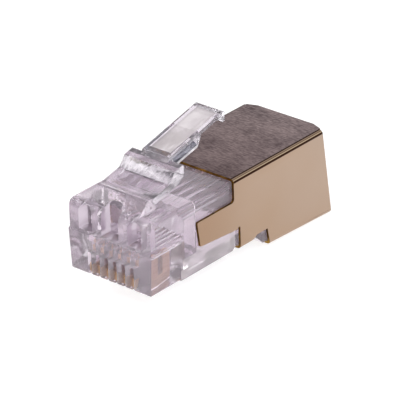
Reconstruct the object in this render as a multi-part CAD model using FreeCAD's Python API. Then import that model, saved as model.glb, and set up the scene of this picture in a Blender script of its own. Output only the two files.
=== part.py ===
import FreeCAD, Part
import math
import os

# Shielded six position modular plug, in millimetres.
# The sizes below are set out with X across, Y from the nose front (0) to the cable end,
# and Z up from the flat underside of the nose (0). The finished pieces are then moved so that
# the origin is the bottom centre of the whole plug.

Vector = FreeCAD.Vector

# Moulded body
body_width = 9.17
body_height = 6.92
body_length = 24.20
body_edge = 0.30
nose_setback = 0.08
nose_round = 0.95
nose_edge = 0.35
rear_drop = 1.30

# Contact block under the nose, wider than the body and tapered downwards
block_top_width = 9.96
block_bottom_width = 9.50
block_height = 4.15
block_length = 4.40
block_round = 0.28
block_ledge_round = 0.15
block_corner_across = 0.35
block_corner_up = 0.15

# Side rails that the shield's forward tabs sit above
rail_width = 9.60
rail_gap = 0.06
rail_overlap = 0.30
rail_end_margin = 0.42
rail_end_chamfer = 0.35

# Contact blades, their slots and the wire channels above them
contact_count = 6
contact_pitch = 1.016
slot_arch_height = 2.35
blade_thickness = 0.32
blade_front = 0.25
blade_length = 3.65
blade_low = 0.05
blade_high = 1.10
blade_nose_round = 0.40
blade_clearance = 0.04
leg_count = 2
leg_width = 0.95
leg_pitch = 1.60
leg_margin = 0.12
leg_shoulder = 3.05
leg_tip = 3.45
channel_radius = 0.46
channel_height = 3.42
channel_front = 0.90

# Core pockets in the front of the nose
centre_pocket_width = 2.05
centre_pocket_rise = 0.60
outer_pocket_roof = 0.30
pocket_rib = 1.08
pocket_wall = 1.10
pocket_floor = 0.25
pocket_depth = 1.35
pocket_arch_share = 0.46

# Cable cavity and its strain relief bar
cavity_width = 7.10
cavity_wall = 1.40
cavity_floor = 0.95
cavity_roof = 1.50
entry_wall = 0.82
guide_groove_radius = 0.30
guide_groove_length = 7.00
window_margin = 0.60
window_length = 2.40
window_width = 6.60
bar_gap = 0.12
bar_height = 1.35
bar_face = 0.10
bar_web = 0.30

# Latch, hinged at its root on a ramp over the nose
latch_width = 6.00
latch_slope = 12.5
hinge_y = 3.00
hinge_rise = 1.11
plate_thickness = 0.72
hinge_clearance = 0.04
ramp_foot = 0.55
ramp_foot_depth = 0.20
ramp_top = 2.00
ramp_round = 0.35
ramp_lip = 0.03
plate_length = 2.08
shoulder_run = 0.99
shoulder_rise = 0.78
shoulder_length = 1.30
shoulder_lean = 0.30
shoulder_floor = 0.05
shoulder_round = 0.18
lever_width = 3.20
lever_rise = 0.42
lever_tip = 12.10
lever_tip_lift = 0.08
lever_depth = 1.32
lever_stem = 3.46
lever_stem_slant = 0.74
lever_thin = 0.39
lever_lip = 0.58
lever_lip_depth = 1.08
lever_round = 0.12
lever_tip_round = 0.25
lever_rim = 0.34
lever_pocket_depth = 0.16
groove_drop = 0.72
groove_depth = 0.35
groove_margin = 0.10
panel_margin = 0.50
panel_front_width = 4.00
panel_rear_width = 4.80
panel_depth = 0.22

# Folded shield
sheet = 0.25
shield_fit = 0.02
bend_radius = 0.42
tab_front = 6.47
tab_lean = 0.35
tab_top = 4.90
tab_low_front = 2.37
tab_low_rear = 1.96
tab_step = 0.24
tab_round = 0.10
hood_front = 11.68
hood_corner_round = 0.35
relief_margin = 0.44
relief_width = 0.34
relief_top = 2.15
strap_width = 1.56
strap_reach = 1.60
notch_run = 0.80
notch_low = 0.29
notch_high = 0.30
notch_length = 1.53
notch_slant = 0.38
skirt_fall = 0.42
shield_overhang = 1.69
rear_slant = 1.22
rear_corner_round = 0.30
tongue_length = 0.55
tongue_width = 6.70
tongue_relief = 0.40
seam_gap = 0.30

# Corner radius of a slot with a round end, as a share of its width
round_end_share = 0.49

# Room that a cutting tool runs past the faces it cuts
overrun = 1.00

# Places that follow from the sizes above
body_half = body_width / 2
shield_half = body_half + shield_fit + sheet
shield_top = body_height + shield_fit + sheet
nose_half = shield_half
nose_top = shield_top
shield_bottom = -(rear_drop + shield_fit + sheet)
shield_rear = body_length + shield_overhang
strap_bottom = -(shield_fit + sheet)
nose_length = tab_front - tab_step
rail_front = block_length - rail_overlap
relief_front = hood_front + relief_margin
relief_rear = relief_front + relief_width
strap_rear = relief_rear + strap_width
notch_front = strap_rear + notch_run
notch_rear = notch_front + notch_length
skirt_front = notch_rear + notch_slant
skirt_low = shield_bottom - skirt_fall
blade_rear = blade_front + blade_length
slot_rear = blade_rear + blade_clearance
slot_half = blade_thickness / 2 + blade_clearance
first_leg = blade_rear - leg_margin - leg_width - leg_pitch * (leg_count - 1)
cavity_front = slot_rear + cavity_wall
cavity_roof_height = body_height - cavity_roof
window_front = cavity_front + window_margin
window_rear = window_front + window_length
hinge_z = body_height + hinge_rise
bead_radius = plate_thickness / 2

NORMALS = {"YZ": Vector(1, 0, 0), "XZ": Vector(0, 1, 0), "XY": Vector(0, 0, 1)}


def in_space(u, v, plane, level):
    """The point (u, v) of a drawing plane, at its level along the plane's normal."""
    if plane == "YZ":
        return Vector(level, u, v)
    if plane == "XZ":
        return Vector(u, level, v)
    return Vector(u, v, level)


def rounded_corner(before, corner, after, radius):
    """Start, middle and end of the arc that rounds one corner; a sharp corner has no middle."""
    if radius == 0:
        return corner, None, corner
    back = (before - corner).normalize()
    on = (after - corner).normalize()
    half_angle = back.getAngle(on) / 2
    bisector = (back + on).normalize()
    reach = radius / math.tan(half_angle)
    to_arc = radius / math.sin(half_angle) - radius
    return corner + back * reach, corner + bisector * to_arc, corner + on * reach


def prism(outline, plane, low, high, fall=0):
    """Solid over a closed outline of (u, v) or (u, v, corner radius), from low to high.

    The far end may lie lower than the near one, by the fall.
    """
    corners = [in_space(point[0], point[1], plane, low) for point in outline]
    radii = [point[2] if len(point) > 2 else 0 for point in outline]
    arcs = []
    for i, corner in enumerate(corners):
        after = corners[(i + 1) % len(corners)]
        arcs.append(rounded_corner(corners[i - 1], corner, after, radii[i]))
    edges = []
    for i, (start, middle, end) in enumerate(arcs):
        if middle is not None:
            edges.append(Part.Arc(start, middle, end).toShape())
        following = arcs[(i + 1) % len(arcs)][0]
        edges.append(Part.LineSegment(end, following).toShape())
    face = Part.Face(Part.Wire(edges))
    return face.extrude(NORMALS[plane] * (high - low) - Vector(0, 0, fall))


def box(half_width, low_y, high_y, low_z, high_z):
    """Block centred on X."""
    size = (2 * half_width, high_y - low_y, high_z - low_z)
    return Part.makeBox(*size, Vector(-half_width, low_y, low_z))


def rounded_bar(half_width, low_z, high_z, low_round, high_round, low_y, high_y, fall=0):
    """Bar along Y whose section is a rectangle with rounded lower and upper corners."""
    section = [
        (-half_width, low_z, low_round),
        (half_width, low_z, low_round),
        (half_width, high_z, high_round),
        (-half_width, high_z, high_round),
    ]
    return prism(section, "XZ", low_y, high_y, fall)


def contact_places():
    """Middle of each contact across the plug."""
    first = -contact_pitch * (contact_count - 1) / 2
    return [first + contact_pitch * i for i in range(contact_count)]


def tab_lower_edge(y):
    """Height of the shield tab's lower edge, which falls towards the rear."""
    fall = (tab_low_front - tab_low_rear) / (relief_front - tab_front - tab_lean)
    return tab_low_front - fall * (y - tab_front - tab_lean)


def body_block():
    """Nose flush with the shield, the slimmer middle that the shield sits on, and the deeper cable end."""
    side = [
        (nose_setback, 0),
        (nose_setback, nose_top, nose_round),
        (nose_length, nose_top),
        (nose_length, 0),
    ]
    nose = rounded_bar(nose_half, block_height / 2, nose_top, 0, nose_edge, 0, nose_length)
    nose = nose.common(prism(side, "YZ", -nose_half, nose_half))
    middle = rounded_bar(body_half, 0, body_height, body_edge, body_edge, rail_front, notch_rear)
    cable_end = rounded_bar(
        body_half, -rear_drop, body_height, body_edge, body_edge, notch_front, body_length
    )
    slope = [
        (notch_front, body_height),
        (notch_front, 0),
        (notch_front + rear_drop, -rear_drop),
        (body_length, -rear_drop),
        (body_length, body_height),
    ]
    cable_end = cable_end.common(prism(slope, "YZ", -body_half, body_half))
    return nose.fuse([middle, cable_end])


def contact_block():
    """Lower front block that carries the contacts, with its ledge and cut lower corners."""
    low = block_bottom_width / 2
    high = block_top_width / 2
    front = [
        (-low + block_corner_across, 0),
        (low - block_corner_across, 0),
        (low, block_corner_up),
        (high, block_height),
        (-high, block_height),
        (-low, block_corner_up),
    ]
    side = [
        (0, 0, block_round),
        (0, block_height, block_ledge_round),
        (block_length, block_height),
        (block_length, 0),
    ]
    return prism(front, "XZ", 0, block_length).common(prism(side, "YZ", -high, high))


def side_rails():
    """Rails along both lower edges, just under the shield's tabs."""
    end = relief_front - rail_end_margin
    outline = [
        (rail_front, 0),
        (end - rail_end_chamfer, 0),
        (end, rail_end_chamfer),
        (end, tab_lower_edge(end) - rail_gap),
        (rail_front, tab_lower_edge(rail_front) - rail_gap),
    ]
    return prism(outline, "YZ", -rail_width / 2, rail_width / 2)


def latch_ramp():
    """Ramp over the nose that carries the latch root in a round seat."""
    foot_z = nose_top - ramp_foot_depth
    top_z = hinge_z + bead_radius - ramp_lip
    outline = [
        (ramp_foot, block_height),
        (ramp_foot, foot_z),
        (ramp_top, top_z, ramp_round),
        (hinge_y, top_z),
        (hinge_y, block_height),
    ]
    ramp = prism(outline, "YZ", -latch_width / 2, latch_width / 2)
    seat = Part.makeCylinder(
        bead_radius + hinge_clearance,
        latch_width + 2 * overrun,
        Vector(-latch_width / 2 - overrun, hinge_y, hinge_z),
        Vector(1, 0, 0),
    )
    return ramp, seat


def contact_slots():
    """Slots open to the front and below, each with a rear part that breaks into its wire channel."""
    arch_round = round_end_share * 2 * slot_half
    legs_front = first_leg - blade_clearance
    cuts = []
    for x in contact_places():
        arch = [
            (x - slot_half, -overrun),
            (x + slot_half, -overrun),
            (x + slot_half, slot_arch_height, arch_round),
            (x - slot_half, slot_arch_height, arch_round),
        ]
        cuts.append(prism(arch, "XZ", -overrun, slot_rear))
        corner = Vector(x - slot_half, legs_front, 0)
        cuts.append(Part.makeBox(2 * slot_half, slot_rear - legs_front, channel_height, corner))
    return cuts


def wire_channels():
    """Round channels that lead each wire over its contact."""
    length = cavity_front + overrun - channel_front
    along = Vector(0, 1, 0)
    return [
        Part.makeCylinder(channel_radius, length, Vector(x, channel_front, channel_height), along)
        for x in contact_places()
    ]


def front_pockets():
    """Three arch-topped core pockets in the front of the nose, the middle one up into the latch ramp."""
    inner = centre_pocket_width / 2
    outer_low = inner + pocket_rib
    outer_high = nose_half - pocket_wall
    floor = block_height + pocket_floor
    outer_roof = nose_top - outer_pocket_roof
    places = (
        (-outer_high, -outer_low, outer_roof),
        (-inner, inner, nose_top + centre_pocket_rise),
        (outer_low, outer_high, outer_roof),
    )
    cuts = []
    for low, high, roof in places:
        arch = pocket_arch_share * (high - low)
        outline = [(low, floor), (high, floor), (high, roof, arch), (low, roof, arch)]
        cuts.append(prism(outline, "XZ", -overrun, pocket_depth))
    return cuts


def cable_cavity():
    """Flat space for the cable, deeper at the entry, with guide grooves along its roof."""
    entry_floor = -rear_drop + entry_wall
    entry_roof = body_height - entry_wall
    step_front = notch_front + entry_wall * math.sqrt(2) - cavity_floor
    step_rear = step_front + cavity_floor - entry_floor
    end = body_length + overrun
    outline = [
        (cavity_front, cavity_floor),
        (step_front, cavity_floor),
        (step_rear, entry_floor),
        (end, entry_floor),
        (end, entry_roof),
        (step_rear, entry_roof),
        (step_front, cavity_roof_height),
        (cavity_front, cavity_roof_height),
    ]
    cuts = [prism(outline, "YZ", -cavity_width / 2, cavity_width / 2)]
    for x in contact_places():
        start = Vector(x, cavity_front, cavity_roof_height)
        cuts.append(
            Part.makeCylinder(guide_groove_radius, guide_groove_length, start, Vector(0, 1, 0))
        )
    return cuts


def strain_relief_window():
    """Opening in the underside where the strain relief bar is pushed in on the cable."""
    return box(window_width / 2, window_front, window_rear, -overrun, cavity_floor + overrun)


def strain_relief_bar():
    """Wedge across the window, moulded on a thin web at its rear edge."""
    half = window_width / 2 - bar_gap
    wedge = [
        (window_front + bar_gap, bar_face),
        (window_rear - bar_gap, bar_face),
        (window_front + 2 * bar_gap + bar_web, bar_face + bar_height),
    ]
    web = [
        (window_rear - bar_web - bar_gap, bar_face),
        (window_rear + bar_web, bar_face),
        (window_rear + bar_web, bar_face + bar_web),
        (window_rear - bar_web - bar_gap, bar_face + bar_web),
    ]
    return prism(wedge, "YZ", -half, half).fuse(prism(web, "YZ", -half, half))


def plug_housing():
    """Clear moulded body in one piece."""
    ramp, seat = latch_ramp()
    body = body_block().fuse([contact_block(), side_rails(), ramp])
    cuts = [seat, strain_relief_window()]
    cuts += contact_slots() + wire_channels() + front_pockets() + cable_cavity()
    body = body.cut(cuts)
    return body.fuse(strain_relief_bar()).removeSplitter()


def lever_grooves(lever_top, front, rear):
    """Grooves with sloping walls along both sides of the lever, drawn like the latch."""
    middle = lever_top - groove_drop
    mouth = groove_depth + overrun
    cuts = []
    for side in (-1, 1):
        bottom = side * (lever_width / 2 - groove_depth)
        outside = side * (lever_width / 2 + overrun)
        outline = [(bottom, middle), (outside, middle + mouth), (outside, middle - mouth)]
        cuts.append(prism(outline, "XZ", front, rear))
    return cuts


def latch_tab():
    """Latch drawn along its own plate from the hinge axis, then tilted up and set on the ramp."""
    half = latch_width / 2
    shoulder_front = plate_length + shoulder_run
    shoulder_rear = shoulder_front + shoulder_length
    shoulder_top = bead_radius + shoulder_rise
    plate = [
        (0, bead_radius),
        (plate_length, bead_radius),
        (shoulder_front, shoulder_top, shoulder_round),
        (shoulder_rear, shoulder_top, shoulder_round),
        (shoulder_rear - shoulder_lean, shoulder_floor, shoulder_round),
        (shoulder_front, -bead_radius),
        (0, -bead_radius),
    ]
    root = Part.makeCylinder(bead_radius, latch_width, Vector(-half, 0, 0), Vector(1, 0, 0))
    lever_top = shoulder_top + lever_rise
    tip_top = lever_top + lever_tip_lift
    stem_end = shoulder_rear + lever_stem
    thin_start = stem_end + lever_stem_slant
    lip_front = lever_tip - lever_lip
    lever = [
        (shoulder_front, shoulder_floor),
        (shoulder_rear - shoulder_lean, lever_top, lever_round),
        (lever_tip, tip_top, lever_tip_round),
        (lever_tip - lever_tip_round, tip_top - lever_lip_depth, lever_round),
        (lip_front, tip_top - lever_lip_depth, lever_round),
        (lip_front, tip_top - lever_thin),
        (thin_start, lever_top - lever_thin),
        (stem_end, lever_top - lever_depth, lever_round),
        (shoulder_rear - shoulder_lean, lever_top - lever_depth),
    ]
    lever_half = lever_width / 2
    pocket_half = lever_half - lever_rim
    pocket_front = shoulder_rear + lever_rim
    pocket_rear = lever_tip - lever_rim - lever_tip_round
    rise = lever_tip_lift / (lever_tip - shoulder_rear)
    pocket = [
        (pocket_front, lever_top - lever_pocket_depth),
        (pocket_rear, lever_top - lever_pocket_depth + rise * (pocket_rear - pocket_front)),
        (pocket_rear, tip_top + overrun),
        (pocket_front, tip_top + overrun),
    ]
    panel = [
        (-panel_front_width / 2, panel_margin),
        (panel_front_width / 2, panel_margin),
        (panel_rear_width / 2, plate_length),
        (-panel_rear_width / 2, plate_length),
    ]
    latch = prism(plate, "YZ", -half, half).fuse([root, prism(lever, "YZ", -lever_half, lever_half)])
    latch = latch.cut([
        prism(pocket, "YZ", -pocket_half, pocket_half),
        prism(panel, "XY", bead_radius - panel_depth, bead_radius + overrun),
        *lever_grooves(lever_top, shoulder_rear + groove_margin, stem_end),
    ])
    latch = latch.removeSplitter()
    latch.rotate(Vector(0, 0, 0), Vector(1, 0, 0), latch_slope)
    latch.translate(Vector(0, hinge_y, hinge_z))
    return latch


def contact_blade(x):
    """Stamped blade with a rounded mating corner and two tall legs that pierce the wire from below."""
    outline = [
        (blade_front, blade_low, blade_nose_round),
        (blade_front, blade_high),
    ]
    for i in range(leg_count):
        front = first_leg + leg_pitch * i
        rear = front + leg_width
        outline.append((front, blade_high))
        outline.append((front, leg_shoulder))
        outline.append(((front + rear) / 2, leg_tip))
        outline.append((rear, leg_shoulder))
        outline.append((rear, blade_high))
    outline.append((blade_rear, blade_high))
    outline.append((blade_rear, blade_low, blade_nose_round))
    return prism(outline, "YZ", x - blade_thickness / 2, x + blade_thickness / 2)


def sheet_tube(low_z, low_y, high_y, fall=0):
    """Folded tube of sheet round the body, from low_y to high_y."""
    thickness = ((0, bend_radius), (sheet, bend_radius - sheet))
    outer, inner = [
        rounded_bar(
            shield_half - inset, low_z + inset, shield_top - inset, bend, bend, low_y, high_y, fall
        )
        for inset, bend in thickness
    ]
    return outer.cut(inner)


def shield_front(split, split_height):
    """Hood, forward side tabs and the straps that are folded in under the body."""
    over = shield_top + overrun
    under = strap_bottom - overrun
    relief_round = round_end_share * relief_width
    outline = [
        (split, over),
        (hood_front, over),
        (hood_front, tab_top, hood_corner_round),
        (tab_front, tab_top, tab_round),
        (tab_front + tab_lean, tab_low_front, tab_round),
        (relief_front, tab_low_rear),
        (relief_front, relief_top, relief_round),
        (relief_rear, relief_top, relief_round),
        (relief_rear, under),
        (strap_rear, under),
        (strap_rear, strap_bottom),
        (notch_front, notch_low),
        (split, split_height),
    ]
    tube = sheet_tube(strap_bottom, tab_front, split)
    tube = tube.common(prism(outline, "YZ", -shield_half, shield_half))
    return tube.cut(box(shield_half - strap_reach, tab_front, split, under, 0))


def shield_skirt(split, split_height):
    """Deep rear end round the cable entry, whose underside falls towards the cable and has a seam."""
    over = shield_top + overrun
    under = skirt_low - overrun
    fall_rate = skirt_fall / (shield_rear - skirt_front)
    start_low = shield_bottom + fall_rate * (skirt_front - split)
    outline = [
        (split, over),
        (split, split_height),
        (notch_rear, notch_high),
        (skirt_front, shield_bottom),
        (shield_rear, skirt_low, rear_corner_round),
        (shield_rear - rear_slant, shield_top),
        (shield_rear - rear_slant, over),
    ]
    upper = sheet_tube(shield_bottom, split, shield_rear)
    upper = upper.common(box(shield_half, split, shield_rear, tab_top, over))
    lower = sheet_tube(start_low, split, shield_rear, start_low - skirt_low)
    lower = lower.common(box(shield_half, split, shield_rear, under, tab_top))
    tube = upper.fuse(lower).common(prism(outline, "YZ", -shield_half, shield_half))
    return tube.cut(box(seam_gap / 2, split, shield_rear, under, 0))


def shield_tongue():
    """Tongue at the rear of the top panel, narrowed towards its end."""
    root_half = shield_half - tongue_relief
    end_half = tongue_width / 2
    middle = shield_rear - rear_slant
    end = middle + tongue_length
    corner = end - tongue_length * (root_half - end_half) / (shield_half - end_half)
    outline = [
        (-root_half, middle - tongue_length),
        (root_half, middle - tongue_length),
        (root_half, corner),
        (end_half, end),
        (-end_half, end),
        (-root_half, corner),
    ]
    return prism(outline, "XY", shield_top - sheet, shield_top)


def shield_shell():
    """Shield folded from one sheet, its front and rear meeting across the notch between them."""
    split = notch_front + notch_length / 2
    split_height = (notch_low + notch_high) / 2
    front = shield_front(split, split_height)
    return front.fuse([shield_skirt(split, split_height), shield_tongue()]).removeSplitter()


def write_parts():
    """Write every piece as its own file, with the origin at the plug's bottom centre."""
    pieces = {
        "plug_housing": plug_housing(),
        "latch_tab": latch_tab(),
        "shield_shell": shield_shell(),
    }
    for i, x in enumerate(contact_places()):
        pieces[f"contact_{i + 1}"] = contact_blade(x)
    os.makedirs("parts", exist_ok=True)
    to_origin = Vector(0, -shield_rear / 2, -skirt_low)
    for name, piece in pieces.items():
        piece.translate(to_origin)
        piece.exportStep(f"parts/{name}.step")


write_parts()
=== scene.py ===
import math

import bmesh
import bpy
from mathutils import Matrix, Vector


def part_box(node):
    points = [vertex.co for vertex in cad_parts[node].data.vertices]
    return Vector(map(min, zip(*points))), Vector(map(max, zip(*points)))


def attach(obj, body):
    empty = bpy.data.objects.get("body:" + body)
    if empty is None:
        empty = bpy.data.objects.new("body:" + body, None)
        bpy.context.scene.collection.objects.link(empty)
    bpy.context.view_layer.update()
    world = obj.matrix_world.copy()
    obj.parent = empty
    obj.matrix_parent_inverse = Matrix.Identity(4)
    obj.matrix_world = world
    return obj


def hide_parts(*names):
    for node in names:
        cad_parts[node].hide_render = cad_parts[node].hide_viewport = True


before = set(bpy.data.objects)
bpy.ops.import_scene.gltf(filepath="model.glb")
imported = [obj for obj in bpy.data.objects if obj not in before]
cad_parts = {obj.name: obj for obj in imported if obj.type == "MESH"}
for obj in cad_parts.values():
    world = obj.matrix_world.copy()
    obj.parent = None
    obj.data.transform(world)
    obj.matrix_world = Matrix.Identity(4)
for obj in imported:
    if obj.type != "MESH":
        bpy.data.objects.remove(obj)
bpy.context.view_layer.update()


# Plug body: one clear polycarbonate moulding with the nose, the contact block, the wire channels and the
# cable cavity. The polished tool leaves glossy walls and slightly round outer edges; the rounded edges are
# painted whiter and less clear, as painted highlight. The cores of the nose pockets leave matt walls, which
# are also painted darker, as painted shade. The melt shows faint flow lines and a lilac cast. The rail
# sides under the shield's tab get a less clear, pale finish, as painted light.

BODY_EDGE_RADIUS = 0.00008
BODY_SHORTEST_EDGE = 0.0004
BODY_TINT_PALE = (0.985, 0.91, 0.98, 1)
BODY_TINT_DEEP = (0.80, 0.715, 0.80, 1)
BODY_CLOUD = (500, 300, 500)
BODY_CLEARNESS = 0.84
BODY_IOR = 1.38
# Painted highlight: pale tints for the rounded edges, also used on the latch.
EDGE_HIGHLIGHT_PALE = (0.97, 0.94, 0.98, 1)
EDGE_HIGHLIGHT_DEEP = (0.90, 0.85, 0.91, 1)
EDGE_CLEARNESS = 0.35
# Painted shade: darker tints for the walls and roofs of the nose pockets.
POCKET_PAINTED_SHADE_PALE = (0.86, 0.775, 0.86, 1)
POCKET_PAINTED_SHADE_DEEP = (0.64, 0.56, 0.64, 1)
POCKET_CLEARNESS = 0.6
POCKET_REACH = (0.0038, -0.0115, 0.0063)
# Painted light: pale tints for the outer sides of the rails under the tab.
RAIL_PAINTED_LIGHT_PALE = (0.98, 0.915, 0.95, 1)
RAIL_PAINTED_LIGHT_DEEP = (0.82, 0.75, 0.795, 1)
RAIL_CLEARNESS = 0.62
RAIL_REACH = (0.0047, -0.0088, 0.0045)
CLEAR_HAZE = (0.01, 0.06)
FLOW_LINES = (2600, 28, 2200)
FLOW_DETAIL = 2.0
FLOW_RELIEF = (0.22, 0.00004)
CLOUD_RANGE = (0.25, 0.75)
SAME_POINT = 1e-7
FLAT_ANGLE = math.radians(0.4)
SHARP_ANGLE = math.radians(32)
ROUNDING_STEPS = 2
# How much of a face's normal lies along an axis: nearly all of it, or more than half.
SQUARE_ON = 0.9
HALF_ON = 0.5


def soft_edged_form(node, edge_radius, shortest_edge, finishes):
    """The form of one solid as a joined mesh, with its longer outer edges rounded.

    The last of the finishes is that of the rounded edges.
    """
    form = bmesh.new()
    form.from_mesh(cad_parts[node].data)
    bmesh.ops.remove_doubles(form, verts=form.verts, dist=SAME_POINT)
    bmesh.ops.dissolve_limit(form, angle_limit=FLAT_ANGLE, verts=form.verts, edges=form.edges)
    weight = form.edges.layers.float.new("bevel_weight_edge")
    for edge in form.edges:
        if len(edge.link_faces) != 2 or edge.calc_face_angle() < SHARP_ANGLE:
            continue
        edge.smooth = False
        if edge.is_convex and edge.calc_length() > shortest_edge:
            edge[weight] = 1
    for face in form.faces:
        face.smooth = True
    mesh = bpy.data.meshes.new(node + "_form")
    form.to_mesh(mesh)
    form.free()
    mesh.materials.clear()
    for finish in finishes:
        mesh.materials.append(finish)
    made = bpy.data.objects.new(node + "_form", mesh)
    bpy.context.scene.collection.objects.link(made)
    rounding = made.modifiers.new("edge radius", "BEVEL")
    rounding.limit_method = "WEIGHT"
    rounding.width = edge_radius
    rounding.segments = ROUNDING_STEPS
    rounding.material = len(finishes) - 1
    rounding.harden_normals = True
    return made


def plain_piece(made, name):
    """What an object's modifiers make of it, as a piece with a plain mesh."""
    evaluated = made.evaluated_get(bpy.context.evaluated_depsgraph_get())
    mesh = bpy.data.meshes.new_from_object(evaluated)
    mesh.name = name
    bpy.data.objects.remove(made)
    piece = bpy.data.objects.new(name, mesh)
    bpy.context.scene.collection.objects.link(piece)
    return piece


def new_finish(name):
    """A node material, its node tree and the shader that its nodes feed."""
    finish = bpy.data.materials.new(name)
    finish.use_nodes = True
    return finish, finish.node_tree, finish.node_tree.nodes["Principled BSDF"]


def feed(tree, value, socket):
    """Sets a socket to a number or colour, or links it to the socket that feeds it."""
    if isinstance(value, bpy.types.NodeSocket):
        tree.links.new(value, socket)
    else:
        socket.default_value = value


def spread(tree, value, low, high, out_low=0.0, out_high=1.0):
    """Carries a value smoothly from one range to another."""
    node = tree.nodes.new("ShaderNodeMapRange")
    node.interpolation_type = "SMOOTHSTEP"
    for name, number in (("From Min", low), ("From Max", high), ("To Min", out_low), ("To Max", out_high)):
        node.inputs[name].default_value = number
    feed(tree, value, node.inputs["Value"])
    return node.outputs["Result"]


def grade(tree, share, at_none, at_full):
    """Carries a share from 0 to 1 smoothly from one level to another."""
    return spread(tree, share, 0.0, 1.0, at_none, at_full)


def mottle(tree, scale, detail=3.0):
    """Cloudy variation from 0 to 1, with so many changes a metre along each axis of the object."""
    place = tree.nodes.new("ShaderNodeTexCoord")
    stretch = tree.nodes.new("ShaderNodeMapping")
    stretch.inputs["Scale"].default_value = scale
    tree.links.new(place.outputs["Object"], stretch.inputs["Vector"])
    cloud = tree.nodes.new("ShaderNodeTexNoise")
    cloud.inputs["Scale"].default_value = 1.0
    cloud.inputs["Detail"].default_value = detail
    tree.links.new(stretch.outputs["Vector"], cloud.inputs["Vector"])
    return spread(tree, cloud.outputs["Fac"], *CLOUD_RANGE)


def between(tree, factor, first, second):
    """A colour between two others, at the sockets that a mix node keeps for colours."""
    node = tree.nodes.new("ShaderNodeMix")
    node.data_type = "RGBA"
    for index, value in ((0, factor), (6, first), (7, second)):
        feed(tree, value, node.inputs[index])
    return node.outputs[2]


def relief(tree, height, strength, depth):
    """A fine surface relief of a given depth in metres."""
    node = tree.nodes.new("ShaderNodeBump")
    node.inputs["Strength"].default_value = strength
    node.inputs["Distance"].default_value = depth
    tree.links.new(height, node.inputs["Height"])
    return node.outputs["Normal"]


def clear_moulding_finish(name, pale, deep, cloud, clearness, bending):
    """Clear polycarbonate: a cloudy tint at each wall, flow lines along the plug and a light haze."""
    finish, tree, shader = new_finish(name)
    feed(tree, between(tree, mottle(tree, cloud), pale, deep), shader.inputs["Base Color"])
    flow = mottle(tree, FLOW_LINES, FLOW_DETAIL)
    feed(tree, grade(tree, flow, *CLEAR_HAZE), shader.inputs["Roughness"])
    feed(tree, relief(tree, flow, *FLOW_RELIEF), shader.inputs["Normal"])
    shader.inputs["Transmission Weight"].default_value = clearness
    shader.inputs["IOR"].default_value = bending
    return finish


def on_pocket_wall(face):
    """Whether a face is a side wall or roof of a pocket in the front of the nose."""
    half_width, rear, floor = POCKET_REACH
    place = face.center
    inside = abs(place.x) < half_width and place.y < rear and place.z > floor
    return inside and abs(face.normal.y) < HALF_ON


def on_rail_side(face):
    """Whether a face is the outer side of a rail, under the shield's tab."""
    half_width, front, top = RAIL_REACH
    place = face.center
    outside = abs(place.x) > half_width and place.y > front and place.z < top
    return outside and abs(face.normal.x) > SQUARE_ON


def refinish(piece, finish, chosen):
    """Gives the chosen faces of a piece another finish."""
    finishes = piece.data.materials
    finishes.append(finish)
    for face in piece.data.polygons:
        if chosen(face):
            face.material_index = len(finishes) - 1


clear_body = clear_moulding_finish(
    "clear body", BODY_TINT_PALE, BODY_TINT_DEEP, BODY_CLOUD, BODY_CLEARNESS, BODY_IOR
)
# Painted highlight: the rounded edges get a whiter, less clear finish.
painted_edge_highlight = clear_moulding_finish(
    "painted edge highlight", EDGE_HIGHLIGHT_PALE, EDGE_HIGHLIGHT_DEEP, BODY_CLOUD, EDGE_CLEARNESS, BODY_IOR
)
# Painted shade: the pocket walls get a darker, less clear finish.
matt_pocket_painted_shade = clear_moulding_finish(
    "matt pocket painted shade", POCKET_PAINTED_SHADE_PALE, POCKET_PAINTED_SHADE_DEEP, BODY_CLOUD, POCKET_CLEARNESS, BODY_IOR
)
# Painted light: the rail sides get a pale, less clear finish.
rail_painted_light = clear_moulding_finish(
    "rail painted light", RAIL_PAINTED_LIGHT_PALE, RAIL_PAINTED_LIGHT_DEEP, BODY_CLOUD, RAIL_CLEARNESS, BODY_IOR
)
body_form = soft_edged_form("plug_housing", BODY_EDGE_RADIUS, BODY_SHORTEST_EDGE, (clear_body, painted_edge_highlight))
body = plain_piece(body_form, "plug_body")
refinish(body, matt_pocket_painted_shade, on_pocket_wall)
refinish(body, rail_painted_light, on_rail_side)
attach(body, "plug")
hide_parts("plug_housing")


# Release latch: moulded with the body and bent up from its root, with a shoulder that catches in the jack
# and a lever with grooved sides. Same clear polycarbonate, thin and glassy; the tool leaves the sunk panel
# of the lever frosted and the slope of the shoulder, where the melt closes last, full of flow marks. The
# rounded edges are painted pale and dark, as painted highlight and painted shade, and the flat lower flanks
# of the lever are painted paler, as painted highlight.

LATCH_EDGE_RADIUS = 0.00007
LATCH_SHORTEST_EDGE = 0.0004
LATCH_TINT_PALE = (0.97, 0.91, 0.97, 1)
LATCH_TINT_DEEP = (0.78, 0.715, 0.79, 1)
LATCH_CLOUD = (900, 600, 900)
# Painted shade: the dark tint of the latch's rounded edges and of its lip.
LATCH_EDGE_PAINTED_SHADE = (0.20, 0.18, 0.21, 1)
LATCH_CLEARNESS = 0.92
LATCH_IOR = 1.58
PANEL_PALE = (0.91, 0.845, 0.865, 1)
PANEL_DEEP = (0.76, 0.69, 0.72, 1)
PANEL_CLEARNESS = 0.25
PANEL_HALF_WIDTH = 0.00127
PANEL_START = -0.0048
SLOPE_PALE = (0.76, 0.70, 0.77, 1)
SLOPE_DEEP = (0.34, 0.30, 0.35, 1)
SLOPE_CLOUD = (1500, 900, 1500)
SLOPE_CLEARNESS = 0.75
SLOPE_LEAST_AREA = 0.000002
SLOPE_LEAST_FORWARD = 0.4
SLOPE_LEAST_UPWARD = 0.3
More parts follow.
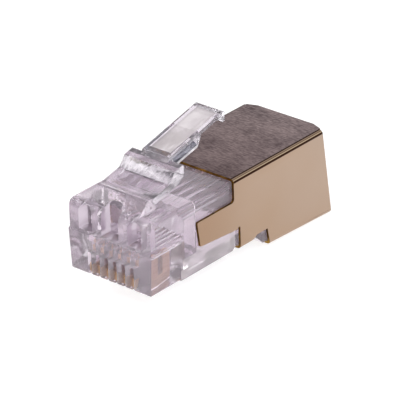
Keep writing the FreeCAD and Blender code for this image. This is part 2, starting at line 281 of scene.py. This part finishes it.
# Painted highlight: near-white tints for the flat lower flanks of the lever.
FLANK_HIGHLIGHT_PALE = (0.99, 0.98, 0.99, 1)
FLANK_HIGHLIGHT_DEEP = (0.84, 0.80, 0.86, 1)
FLANK_CLEARNESS = 0.5
FLANK_LEAST_OUTWARD = 0.00114
FLANK_LENGTH = (-0.0062, -0.003)
GROOVE_PALE = (0.56, 0.57, 0.67, 1)
GROOVE_DEEP = (0.05, 0.055, 0.09, 1)
GROOVE_CLOUD = (3200, 700, 3200)
GROOVE_CLEARNESS = 0.62
GROOVE_HALF_WIDTH = 0.0012
GROOVE_SLANT = (0.6, 0.8)
LIP_START = 0.0009
LIP_CLOUD = (1600, 1600, 1600)


def on_lever_panel(face):
    """Whether a face is the floor of the sunk panel on top of the lever."""
    corners = (face.id_data.vertices[index].co for index in face.vertices)
    within = max(abs(corner.x) for corner in corners) < PANEL_HALF_WIDTH
    return within and face.center.y > PANEL_START and face.normal.z > SQUARE_ON


def on_shoulder_slope(face):
    """Whether a face is the slope that rides up under the jack's catch."""
    forward = face.normal.y < -SLOPE_LEAST_FORWARD
    upward = face.normal.z > SLOPE_LEAST_UPWARD
    return forward and upward and face.area > SLOPE_LEAST_AREA


def beside_grip(face):
    """Whether a face is on the deep part of the lever, near its shoulder."""
    start, end = FLANK_LENGTH
    return start < face.center.y < end


def on_lever_flank(face):
    """Whether a face is the flat side of the lever under its groove."""
    return beside_grip(face) and face.normal.x * face.center.x > FLANK_LEAST_OUTWARD


def on_lever_groove(face):
    """Whether a face is a slanted wall of the groove along the lever's side."""
    least, most = GROOVE_SLANT
    slanted = least < abs(face.normal.x) < most and abs(face.normal.z) > least
    return beside_grip(face) and slanted and abs(face.center.x) > GROOVE_HALF_WIDTH


def on_lever_lip(face):
    """Whether a face is on the end or the lip of the lever, under its rim."""
    return face.center.y > LIP_START and face.normal.z < HALF_ON


clear_latch = clear_moulding_finish(
    "clear latch", LATCH_TINT_PALE, LATCH_TINT_DEEP, LATCH_CLOUD, LATCH_CLEARNESS, LATCH_IOR
)
# Painted highlight and shade: the latch's rounded edges mix a pale and a dark tint.
latch_edge_highlight_and_shade = clear_moulding_finish(
    "latch edge highlight and shade", EDGE_HIGHLIGHT_PALE, LATCH_EDGE_PAINTED_SHADE, LATCH_CLOUD, EDGE_CLEARNESS, LATCH_IOR
)
frosted_panel = clear_moulding_finish(
    "frosted panel", PANEL_PALE, PANEL_DEEP, LATCH_CLOUD, PANEL_CLEARNESS, LATCH_IOR
)
marked_slope = clear_moulding_finish(
    "flow-marked slope", SLOPE_PALE, SLOPE_DEEP, SLOPE_CLOUD, SLOPE_CLEARNESS, LATCH_IOR
)
# Painted highlight: the lower flanks of the lever get a whiter, less clear finish.
flank_painted_highlight = clear_moulding_finish(
    "flank painted highlight", FLANK_HIGHLIGHT_PALE, FLANK_HIGHLIGHT_DEEP, LATCH_CLOUD, FLANK_CLEARNESS, LATCH_IOR
)
shaded_groove = clear_moulding_finish(
    "shaded groove", GROOVE_PALE, GROOVE_DEEP, GROOVE_CLOUD, GROOVE_CLEARNESS, LATCH_IOR
)
shaded_lip = clear_moulding_finish(
    "shaded lip", EDGE_HIGHLIGHT_PALE, LATCH_EDGE_PAINTED_SHADE, LIP_CLOUD, LATCH_CLEARNESS, LATCH_IOR
)
latch_form = soft_edged_form("latch_tab", LATCH_EDGE_RADIUS, LATCH_SHORTEST_EDGE, (clear_latch, latch_edge_highlight_and_shade))
latch = plain_piece(latch_form, "release_latch")
refinish(latch, frosted_panel, on_lever_panel)
refinish(latch, marked_slope, on_shoulder_slope)
refinish(latch, flank_painted_highlight, on_lever_flank)
refinish(latch, shaded_groove, on_lever_groove)
refinish(latch, shaded_lip, on_lever_lip)
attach(latch, "latch")
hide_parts("latch_tab")


# Contacts: six blades stamped from copper alloy strip and gold plated. The rounded head of each is coined a
# little thicker, so that the walls of its slot grip it, and two tall legs behind it pierce the wire.

CONTACT_COUNT = 6
CONTACT_EDGE_RADIUS = 0.00003
CONTACT_SHORTEST_EDGE = 0.0001
CONTACT_HEAD = 0.00093
CONTACT_HEAD_STEP = 0.00003
CONTACT_GRIP = 1.3
CONTACT_GOLD = (0.80, 0.555, 0.355, 1)
CONTACT_WORN = (0.62, 0.40, 0.25, 1)
CONTACT_STREAKS = (900, 700, 5200)
CONTACT_STREAK_DETAIL = 4.0
CONTACT_ROUGHNESS = (0.35, 0.6)
CONTACT_RELIEF = (0.1, 0.00001)
CONTACT_METALLIC = 0.5


def contact_finish():
    """Gold plate over copper alloy, drawn into streaks by the stamping."""
    finish, tree, shader = new_finish("contact gold")
    streak = mottle(tree, CONTACT_STREAKS, CONTACT_STREAK_DETAIL)
    feed(tree, between(tree, streak, CONTACT_GOLD, CONTACT_WORN), shader.inputs["Base Color"])
    feed(tree, grade(tree, streak, *CONTACT_ROUGHNESS), shader.inputs["Roughness"])
    feed(tree, relief(tree, streak, *CONTACT_RELIEF), shader.inputs["Normal"])
    shader.inputs["Metallic"].default_value = CONTACT_METALLIC
    return finish


def coin_head(blade, front, middle):
    """Thickens the front of a blade about its middle plane, so that its flanks bed in the slot's walls."""
    form = bmesh.new()
    form.from_mesh(blade.data)
    for head in (CONTACT_HEAD, CONTACT_HEAD + CONTACT_HEAD_STEP):
        whole = [*form.verts, *form.edges, *form.faces]
        bmesh.ops.bisect_plane(form, geom=whole, plane_co=(0, front + head, 0), plane_no=(0, 1, 0))
    for point in form.verts:
        if point.co.y < front + CONTACT_HEAD + CONTACT_HEAD_STEP / 2:
            point.co.x = middle + (point.co.x - middle) * CONTACT_GRIP
    form.to_mesh(blade.data)
    form.free()


def row_of_blades(blade, finish, pitch):
    """Geometry Nodes that set copies of one blade in a row."""
    tree = bpy.data.node_groups.new("row of blades", "GeometryNodeTree")
    tree.interface.new_socket("Blade", in_out="INPUT", socket_type="NodeSocketGeometry")
    count = tree.interface.new_socket("Blades", in_out="INPUT", socket_type="NodeSocketInt")
    step = tree.interface.new_socket("Pitch", in_out="INPUT", socket_type="NodeSocketVector")
    tree.interface.new_socket("Row", in_out="OUTPUT", socket_type="NodeSocketGeometry")
    given = tree.nodes.new("NodeGroupInput").outputs
    result = tree.nodes.new("NodeGroupOutput").inputs
    line = tree.nodes.new("GeometryNodeMeshLine")
    copies = tree.nodes.new("GeometryNodeInstanceOnPoints")
    joined = tree.nodes.new("GeometryNodeRealizeInstances")
    plated = tree.nodes.new("GeometryNodeSetMaterial")
    plated.inputs["Material"].default_value = finish
    tree.links.new(given["Blades"], line.inputs["Count"])
    tree.links.new(given["Pitch"], line.inputs["Offset"])
    tree.links.new(line.outputs["Mesh"], copies.inputs["Points"])
    tree.links.new(given["Blade"], copies.inputs["Instance"])
    tree.links.new(copies.outputs["Instances"], joined.inputs["Geometry"])
    tree.links.new(joined.outputs["Geometry"], plated.inputs["Geometry"])
    tree.links.new(plated.outputs["Geometry"], result["Row"])
    row = blade.modifiers.new("row of blades", "NODES")
    row.node_group = tree
    row[count.identifier] = CONTACT_COUNT
    row[step.identifier] = pitch


contact_gold = contact_finish()
blade = soft_edged_form("contact_1", CONTACT_EDGE_RADIUS, CONTACT_SHORTEST_EDGE, (contact_gold,))
blade_low, blade_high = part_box("contact_1")
coin_head(blade, blade_low[1], (blade_low[0] + blade_high[0]) / 2)
contact_pitch = Vector(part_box("contact_2")[0]) - Vector(blade_low)
row_of_blades(blade, contact_gold, contact_pitch)
contacts = plain_piece(blade, "contact_row")
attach(contacts, "plug")
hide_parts(*[f"contact_{number}" for number in range(1, CONTACT_COUNT + 1)])


# Shield: one blank of thin gold-tone plated sheet, folded round the body, with forward side tabs, straps
# under the body and a deep skirt round the cable entry. Its top is brushed across and its sides are satin,
# and the cut edges show the bare yellow metal. The top is also painted darker than the sides, as painted
# shade; each long fold is painted as a band of highlight and shade, with painted dark reflection lines
# along its two edges and its crest; and the inner side of the sheet is painted bright, as painted light.

SHIELD_EDGE_RADIUS = 0.00003
SHIELD_SHORTEST_EDGE = 0.0002
SHIELD_MIDDLE = 0.0047
# Painted light: the inner side of the sheet is bright and less metallic, standing in for light bounced
# inside the shell.
SHIELD_INSIDE_PAINTED_LIGHT = (0.92, 0.74, 0.66, 1)
SHIELD_METALLIC = (1.0, 0.15)
SHIELD_ROUGHNESS = (0.32, 0.50)
SATIN = (0.44, 0.307, 0.218, 1)
SATIN_PALE = (0.455, 0.33, 0.25, 1)
SATIN_FRONT = (0.39, 0.255, 0.17, 1)
SATIN_CLOUD = (120, 90, 120)
SATIN_DETAIL = 2.0
SATIN_FADE = (-0.0065, 0.002)
# Brushed top: its tones are darker than the sides partly for the brushed finish and partly as painted
# shade.
BRUSHED_AND_SHADED = (0.41, 0.31, 0.305, 1)
BRUSHED_AND_SHADED_DARK = (0.085, 0.052, 0.058, 1)
BRUSHED_TURN = (0.90, 0.99)
BRUSH_GRAIN = (1300, 7000, 1300)
BRUSH_GRAIN_DETAIL = 5.0
BRUSH_GRAIN_SHARE = 0.45
BRUSH_SPECKLE = (4200, 5200, 4200)
BRUSH_SPECKLE_DETAIL = 2.0
BRUSH_SPECKLE_SHARE = 0.25
BRUSH_PATCH = (240, 300, 240)
BRUSH_PATCH_DETAIL = 4.0
BRUSH_PATCH_SHARE = 0.42
BRUSH_RELIEF = (0.12, 0.00001)
# Painted highlight and shade round the long folds, and painted dark reflection lines along their edges and
# crest.
FOLD_HIGHLIGHT = (0.66, 0.50, 0.34, 1)
FOLD_PAINTED_SHADE = (0.40, 0.28, 0.20, 1)
FOLD_BLEND = 0.00004
FOLD_MIDDLE_TURN = 0.72
FOLD_MIDDLE_BLEND = 0.06
FOLD_SIDE_LINE = 0.00887
FOLD_TOP_LINE = 0.00453
FOLD_DARK_REFLECTION = (0.035, 0.012, 0.005, 1)
REFLECTION_SIDE_RIM = (0.00008, 0.00014)
REFLECTION_TOP_RIM = (0.00005, 0.00010)
REFLECTION_MIDDLE_RIM = (0.03, 0.12)
REFLECTION_MIDDLE_STRENGTH = 0.7
CUT_YELLOW = (0.34, 0.19, 0.03, 1)
CUT_BROWN = (0.06, 0.025, 0.008, 1)
CUT_CLOUD = (700, 700, 700)
CUT_DETAIL = 2.0
CUT_BELOW = (0.0022, 0.0085)
CUT_ABOVE = 0.0072
CUT_ABOVE_OUTSIDE = 0.0045
CUT_INWARD_WITHIN = 0.0035


def mark_sheet(mesh):
    """Marks the faces that the blanking tool cut, and those on the inner side of the folded sheet."""
    cut = mesh.attributes.new("cut_edge", "FLOAT", "FACE")
    inside = mesh.attributes.new("inner_side", "FLOAT", "FACE")
    for face in mesh.polygons:
        turn = face.normal
        place = face.center
        across = abs(turn.y) > HALF_ON
        below = turn.z < -HALF_ON and CUT_BELOW[0] < place.z < CUT_BELOW[1]
        above = turn.z > HALF_ON and place.z < CUT_ABOVE and abs(place.x) > CUT_ABOVE_OUTSIDE
        inward = abs(turn.x) > HALF_ON and abs(place.x) < CUT_INWARD_WITHIN
        cut.data[face.index].value = float(across or below or above or inward)
        to_middle = Vector((-place.x, 0, SHIELD_MIDDLE - place.z))
        inside.data[face.index].value = float(turn.dot(to_middle) > 0 and not across)


def reckon(tree, operation, *values):
    """One step of arithmetic."""
    node = tree.nodes.new("ShaderNodeMath")
    node.operation = operation
    for socket, value in zip(node.inputs, values):
        feed(tree, value, socket)
    return node.outputs[0]


def parts_of(tree, vector):
    """The X, Y and Z of a vector."""
    node = tree.nodes.new("ShaderNodeSeparateXYZ")
    tree.links.new(vector, node.inputs[0])
    return node.outputs


def marked(tree, name):
    """A mark on the faces of the mesh."""
    node = tree.nodes.new("ShaderNodeAttribute")
    node.attribute_name = name
    return node.outputs["Fac"]


def satin_sides(tree, along):
    """Satin plate, a little deeper in tone toward the front."""
    satin = between(tree, mottle(tree, SATIN_CLOUD, SATIN_DETAIL), SATIN, SATIN_PALE)
    return between(tree, spread(tree, along, *SATIN_FADE), SATIN_FRONT, satin)


def brushed_and_shaded_top(tree, grain):
    """Plate brushed across, with speckles and darker patches, and painted darker overall than the sides as
    painted shade.
    """
    speckle = mottle(tree, BRUSH_SPECKLE, BRUSH_SPECKLE_DETAIL)
    patch = mottle(tree, BRUSH_PATCH, BRUSH_PATCH_DETAIL)
    shade = reckon(tree, "MULTIPLY", grain, BRUSH_GRAIN_SHARE)
    shade = reckon(tree, "MULTIPLY_ADD", speckle, BRUSH_SPECKLE_SHARE, shade)
    shade = reckon(tree, "MULTIPLY_ADD", patch, BRUSH_PATCH_SHARE, shade)
    return between(tree, shade, BRUSHED_AND_SHADED, BRUSHED_AND_SHADED_DARK)


def dark_reflection_line(tree, value, line, rim, depth):
    """The strength of a painted dark reflection line where a value passes a given place, fading out over
    its rim on both sides.
    """
    off = reckon(tree, "ABSOLUTE", reckon(tree, "SUBTRACT", value, line))
    return spread(tree, off, *rim, depth, 0.0)


def folded_plate(tree, plate, place, turn):
    """The plate with a painted band round each long fold, highlight on its side-facing half and shade on
    its top-facing half, and painted dark reflection lines along its edges and crest.
    """
    half = reckon(tree, "ABSOLUTE", place["X"])
    past_side = spread(tree, place["Z"], FOLD_SIDE_LINE - FOLD_BLEND, FOLD_SIDE_LINE)
    past_top = spread(tree, half, FOLD_TOP_LINE - FOLD_BLEND, FOLD_TOP_LINE)
    folded = reckon(tree, "MULTIPLY", past_side, past_top)
    crest_start = FOLD_MIDDLE_TURN - FOLD_MIDDLE_BLEND
    crest_end = FOLD_MIDDLE_TURN + FOLD_MIDDLE_BLEND
    band = between(tree, spread(tree, turn["Z"], crest_start, crest_end), FOLD_HIGHLIGHT, FOLD_PAINTED_SHADE)
    lines = (
        (dark_reflection_line(tree, place["Z"], FOLD_SIDE_LINE, REFLECTION_SIDE_RIM, 1.0), past_top),
        (dark_reflection_line(tree, half, FOLD_TOP_LINE, REFLECTION_TOP_RIM, 1.0), past_side),
        (dark_reflection_line(tree, turn["Z"], FOLD_MIDDLE_TURN, REFLECTION_MIDDLE_RIM, REFLECTION_MIDDLE_STRENGTH), folded),
    )
    plate = between(tree, folded, plate, band)
    deepest = 0.0
    for line, reach in lines:
        deepest = reckon(tree, "MAXIMUM", deepest, reckon(tree, "MULTIPLY", line, reach))
    return between(tree, deepest, plate, FOLD_DARK_REFLECTION)


def shield_finish():
    """Plated sheet: satin sides, a brushed top painted darker as painted shade, painted highlight, shade
    and dark reflection lines along the folds, a painted-light inner side and raw cut edges.
    """
    finish, tree, shader = new_finish("shield plate")
    coordinates = tree.nodes.new("ShaderNodeTexCoord").outputs
    turn = parts_of(tree, coordinates["Normal"])
    place = parts_of(tree, coordinates["Object"])
    top = spread(tree, turn["Z"], *BRUSHED_TURN)
    grain = mottle(tree, BRUSH_GRAIN, BRUSH_GRAIN_DETAIL)
    # The top is brushed and painted darker than the sides, partly as painted shade.
    plate = between(tree, top, satin_sides(tree, place["Y"]), brushed_and_shaded_top(tree, grain))
    # Painted highlight, shade and dark reflection lines round the long folds.
    plate = folded_plate(tree, plate, place, turn)
    # Painted light: the inner side gets a bright colour in place of bounced light.
    inside = marked(tree, "inner_side")
    plate = between(tree, inside, plate, SHIELD_INSIDE_PAINTED_LIGHT)
    raw = between(tree, mottle(tree, CUT_CLOUD, CUT_DETAIL), CUT_YELLOW, CUT_BROWN)
    feed(tree, between(tree, marked(tree, "cut_edge"), plate, raw), shader.inputs["Base Color"])
    feed(tree, grade(tree, inside, *SHIELD_METALLIC), shader.inputs["Metallic"])
    brushing = reckon(tree, "MULTIPLY", grain, top)
    feed(tree, grade(tree, brushing, *SHIELD_ROUGHNESS), shader.inputs["Roughness"])
    feed(tree, relief(tree, brushing, *BRUSH_RELIEF), shader.inputs["Normal"])
    return finish


shield_form = soft_edged_form("shield_shell", SHIELD_EDGE_RADIUS, SHIELD_SHORTEST_EDGE, (shield_finish(),))
shield = plain_piece(shield_form, "folded_shield")
mark_sheet(shield.data)
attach(shield, "plug")
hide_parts("shield_shell")


# Photographer's table: a pale sheet under the plug, large soft lights and a camera with a long lens, in a
# white room that is dark on the photographer's side, so that the clear plastic has dark lines to show.

WHITE = (1, 1, 1, 1)
TABLE_SIZE = 0.9
TABLE_PAPER = (0.4, 0.4, 0.4, 1)
TABLE_ROUGHNESS = 0.9
TABLE_GLOW = 0.65
TABLE_SEEN_GLOW = 0.82
ROOM_AMBIENT = 0.8
ROOM_SEEN = 1.0
ROOM_ZENITH = 0.6
ROOM_ZENITH_RIM = (0.25, 0.95)
ROOM_DARK_SIDE = 0.10
ROOM_DARK_RIM = (0.5, 0.88)
PLUG_MIDDLE = Vector((0, -0.0005, 0.0053))
LIGHT_DISTANCE = 0.25
KEY_SIDE = (0.7, -0.5, 0.8)
KEY_SIZE = 0.08
KEY_POWER = 0.25
FILL_SIDE = (-0.8, -0.4, 0.6)
FILL_SIZE = 0.10
FILL_POWER = 0.12
CAMERA_AZIMUTH = math.radians(40.994)
CAMERA_ELEVATION = math.radians(26.99)
CAMERA_ROLL = math.radians(-1.768)
CAMERA_AIM = Vector((0.0000261, -0.0004484, 0.0053102))
CAMERA_DISTANCE = 0.3
CAMERA_LENS = 292.648
CAMERA_SENSOR = 36
CAMERA_NEAREST = 0.01


def backdrop_rays(tree):
    """One where a camera, mirror or clear-plastic ray looks at the background, and zero elsewhere."""
    path = tree.nodes.new("ShaderNodeLightPath").outputs
    seen = reckon(tree, "MAXIMUM", path["Is Camera Ray"], path["Is Glossy Ray"])
    return reckon(tree, "MAXIMUM", seen, path["Is Transmission Ray"])


def paper_finish():
    """White paper with a glow, which evens out the shadows as a lit table does."""
    finish, tree, shader = new_finish("white paper")
    shader.inputs["Base Color"].default_value = TABLE_PAPER
    shader.inputs["Roughness"].default_value = TABLE_ROUGHNESS
    shader.inputs["Emission Color"].default_value = WHITE
    glow = grade(tree, backdrop_rays(tree), TABLE_GLOW, TABLE_SEEN_GLOW)
    feed(tree, glow, shader.inputs["Emission Strength"])
    return finish


def paper_sheet(name):
    """A square sheet that lies flat under the plug."""
    form = bmesh.new()
    bmesh.ops.create_grid(form, x_segments=1, y_segments=1, size=TABLE_SIZE / 2)
    mesh = bpy.data.meshes.new(name)
    form.to_mesh(mesh)
    form.free()
    mesh.materials.append(paper_finish())
    sheet = bpy.data.objects.new(name, mesh)
    bpy.context.scene.collection.objects.link(sheet)
    return sheet


def light_room(dark_side):
    """A white room that dims overhead and goes dark toward one side."""
    room = bpy.data.worlds.new("studio")
    bpy.context.scene.world = room
    room.use_nodes = True
    tree = room.node_tree
    heading = tree.nodes.new("ShaderNodeTexCoord").outputs["Generated"]
    overhead = spread(tree, parts_of(tree, heading)["Z"], *ROOM_ZENITH_RIM, 1.0, ROOM_ZENITH)
    toward = tree.nodes.new("ShaderNodeVectorMath")
    toward.operation = "DOT_PRODUCT"
    tree.links.new(heading, toward.inputs[0])
    toward.inputs[1].default_value = dark_side
    dimmed = spread(tree, toward.outputs["Value"], *ROOM_DARK_RIM, 1.0, ROOM_DARK_SIDE)
    level = reckon(tree, "MULTIPLY", overhead, dimmed)
    seen = grade(tree, backdrop_rays(tree), ROOM_AMBIENT, ROOM_SEEN)
    wall = tree.nodes["Background"]
    wall.inputs["Color"].default_value = WHITE
    feed(tree, reckon(tree, "MULTIPLY", level, seen), wall.inputs["Strength"])


def soft_light(name, side, size, power):
    """A square soft light that looks at the plug from a given side."""
    lamp = bpy.data.lights.new(name, "AREA")
    lamp.size = size
    lamp.energy = power
    holder = bpy.data.objects.new(name, lamp)
    bpy.context.scene.collection.objects.link(holder)
    away = Vector(side).normalized()
    holder.location = PLUG_MIDDLE + away * LIGHT_DISTANCE
    holder.rotation_euler = away.to_track_quat("Z", "Y").to_euler()


def long_lens_camera(back):
    """A camera far back on a given side of the plug, rolled a little about its line of sight."""
    level_right = Vector((math.cos(CAMERA_AZIMUTH), math.sin(CAMERA_AZIMUTH), 0))
    level_up = back.cross(level_right)
    right = level_right * math.cos(CAMERA_ROLL) + level_up * math.sin(CAMERA_ROLL)
    up = level_up * math.cos(CAMERA_ROLL) - level_right * math.sin(CAMERA_ROLL)
    lens = bpy.data.cameras.new("camera")
    lens.lens = CAMERA_LENS
    lens.sensor_width = CAMERA_SENSOR
    lens.clip_start = CAMERA_NEAREST
    camera = bpy.data.objects.new("camera", lens)
    bpy.context.scene.collection.objects.link(camera)
    turned = Matrix((right, up, back)).transposed().to_4x4()
    camera.matrix_world = Matrix.Translation(CAMERA_AIM + back * CAMERA_DISTANCE) @ turned
    bpy.context.scene.camera = camera


table = paper_sheet("table")
photographer_side = Vector((
    math.sin(CAMERA_AZIMUTH) * math.cos(CAMERA_ELEVATION),
    -math.cos(CAMERA_AZIMUTH) * math.cos(CAMERA_ELEVATION),
    math.sin(CAMERA_ELEVATION),
))
light_room(photographer_side)
soft_light("key", KEY_SIDE, KEY_SIZE, KEY_POWER)
soft_light("fill", FILL_SIDE, FILL_SIZE, FILL_POWER)
long_lens_camera(photographer_side)
bpy.context.scene.view_settings.view_transform = "Standard"
